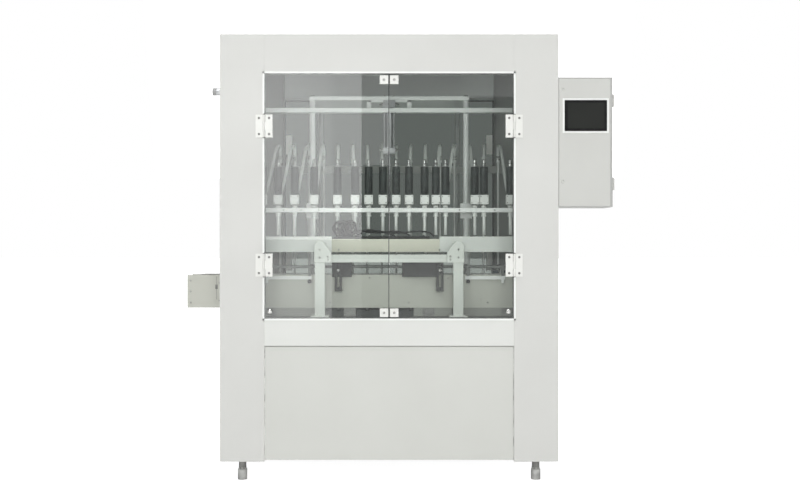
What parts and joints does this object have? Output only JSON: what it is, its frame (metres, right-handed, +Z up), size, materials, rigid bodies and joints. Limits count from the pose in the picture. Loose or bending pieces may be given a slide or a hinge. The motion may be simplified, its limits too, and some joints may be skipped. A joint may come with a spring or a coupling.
{
  "type": "piston liquid filler",
  "caption": "Cabinet piston filling machine: glass doors front and rear, a row of nozzles on a lift beam over a through conveyor, pumps below, control box on the right wall.",
  "frame": {"origin": "on the floor under the middle of the cabinet, centred between the four foot pads", "axes": "+X to the right seen from the front, +Y from the front doors to the back, +Z up"},
  "size_m": [2.0895, 1.0445, 2.12],
  "materials": {
    "painted_sheet": "satin powder coat",
    "stainless": "brushed stainless steel",
    "frame_paint": "grey paint",
    "foot_rubber": "light grey rubber",
    "dark_steel": "dark steel",
    "clear_glass": "tempered clear glass",
    "smoked_glass": "tempered smoked glass",
    "white_fitting": "white paint",
    "magnet_block": "dark plastic",
    "panel_black": "black screen in a dark bezel",
    "electrics": "light grey modules",
    "white_paint": "white paint",
    "aluminium": "anodised",
    "valve_white": "white acetal",
    "actuator_black": "black",
    "bracket_black": "black paint",
    "hose_clear": "clear flexible tube",
    "beige_sheet": "beige paint",
    "chain_plastic": "grey acetal",
    "motor_paint": "grey blue paint",
    "switch_red": "red"
  },
  "bodies": {
    "cabinet": {"front_stile_left": "painted_sheet", "front_stile_right": "painted_sheet", "front_header": "painted_sheet", "front_mid_rail": "painted_sheet", "front_access_panel": "painted_sheet", "side_panel_left": "painted_sheet", "side_panel_right": "painted_sheet", "roof_panel": "painted_sheet", "deck_plate": "stainless", "base_frame": "frame_paint", "rear_surround": "painted_sheet", "rear_service_panel": "painted_sheet", "foot_pads": "foot_rubber", "foot_studs": "dark_steel", "hinge_frame_leaves": "white_fitting", "magnet_catches": "magnet_block", "control_box_shell": "painted_sheet", "control_modules": "electrics", "cross_rails": "white_paint", "gantry_plate": "white_paint", "guide_columns": "stainless", "lift_cylinder": "aluminium", "product_hoses": "hose_clear", "riser_tubes": "stainless", "portal_frame": "white_paint", "splash_plate": "beige_sheet", "slotted_brackets": "bracket_black", "tray_beam": "aluminium", "tray_cylinders": "aluminium", "conveyor_frame": "stainless", "conveyor_chain": "chain_plastic", "guide_rails": "white_paint", "conveyor_gearmotor": "motor_paint", "pump_cylinders": "stainless", "pump_frame": "frame_paint", "servo_drive": "motor_paint", "product_manifold": "stainless", "air_inlet": "aluminium"},
    "front_left_door": {"front_left_door_glass": "clear_glass", "front_left_door_fittings": "white_fitting"},
    "front_right_door": {"front_right_door_glass": "clear_glass", "front_right_door_fittings": "white_fitting"},
    "rear_left_door": {"rear_left_door_glass": "smoked_glass", "rear_left_door_fittings": "white_fitting"},
    "rear_right_door": {"rear_right_door_glass": "smoked_glass", "rear_right_door_fittings": "white_fitting"},
    "control_door": {"control_box_door": "painted_sheet", "touch_panel": "panel_black"},
    "nozzle_carriage": {"nozzle_beam": "white_paint", "valve_blocks": "valve_white", "nozzle_actuators": "actuator_black", "actuator_fittings": "aluminium", "nozzle_tubes": "stainless", "lift_rod": "stainless"},
    "needles": {"shutoff_needles": "stainless"},
    "tray": {"drip_tray": "beige_sheet"},
    "drive_roller": {"drive_shaft": "stainless"},
    "tail_roller": {"tail_shaft": "stainless"},
    "pump_drive": {"pump_pistons": "stainless"},
    "switch_knob": {"main_switch": "switch_red"}
  },
  "joints": [
    {"name": "front_left_door_hinge", "type": "hinge", "parent": "cabinet", "child": "front_left_door", "pos_m": [-0.59, -0.5075, 1.355], "axis": [0, 0, -1], "range_deg": [0, 110]},
    {"name": "front_right_door_hinge", "type": "hinge", "parent": "cabinet", "child": "front_right_door", "pos_m": [0.59, -0.5075, 1.355], "axis": [0, 0, 1], "range_deg": [0, 110]},
    {"name": "rear_left_door_hinge", "type": "hinge", "parent": "cabinet", "child": "rear_left_door", "pos_m": [-0.59, 0.5075, 1.355], "axis": [0, 0, 1], "range_deg": [0, 110]},
    {"name": "rear_right_door_hinge", "type": "hinge", "parent": "cabinet", "child": "rear_right_door", "pos_m": [0.59, 0.5075, 1.355], "axis": [0, 0, -1], "range_deg": [0, 110]},
    {"name": "control_door_hinge", "type": "hinge", "parent": "cabinet", "child": "control_door", "pos_m": [1.061, -0.488, 1.61], "axis": [0, 0, 1], "range_deg": [0, 120]},
    {"name": "nozzle_lift", "type": "slide", "parent": "cabinet", "child": "nozzle_carriage", "axis": [0, 0, -1], "range_m": [0, 0.05], "deforming": ["product_hoses"]},
    {"name": "needle_lift", "type": "slide", "parent": "nozzle_carriage", "child": "needles", "axis": [0, 0, 1], "range_m": [0, 0.008]},
    {"name": "tray_slide", "type": "slide", "parent": "cabinet", "child": "tray", "axis": [0, 1, 0], "range_m": [0, 0.065]},
    {"name": "pump_stroke", "type": "slide", "parent": "cabinet", "child": "pump_drive", "axis": [0, 0, -1], "range_m": [0, 0.1]},
    {"name": "drive_spin", "type": "hinge", "parent": "cabinet", "child": "drive_roller", "pos_m": [0.73, -0.05, 0.91], "axis": [0, 1, 0], "continuous": true},
    {"name": "tail_spin", "type": "hinge", "parent": "cabinet", "child": "tail_roller", "pos_m": [-0.955, -0.05, 0.91], "axis": [0, 1, 0], "continuous": true},
    {"name": "main_switch_turn", "type": "hinge", "parent": "cabinet", "child": "switch_knob", "pos_m": [-0.69, 0.5, 1.4], "axis": [0, 1, 0], "range_deg": [0, 90]}
  ],
  "couplings": [
    {"joint": "tray_slide", "follows": "nozzle_lift", "ratio": 1.3},
    {"joint": "tail_spin", "follows": "drive_spin", "ratio": 1}
  ]
}
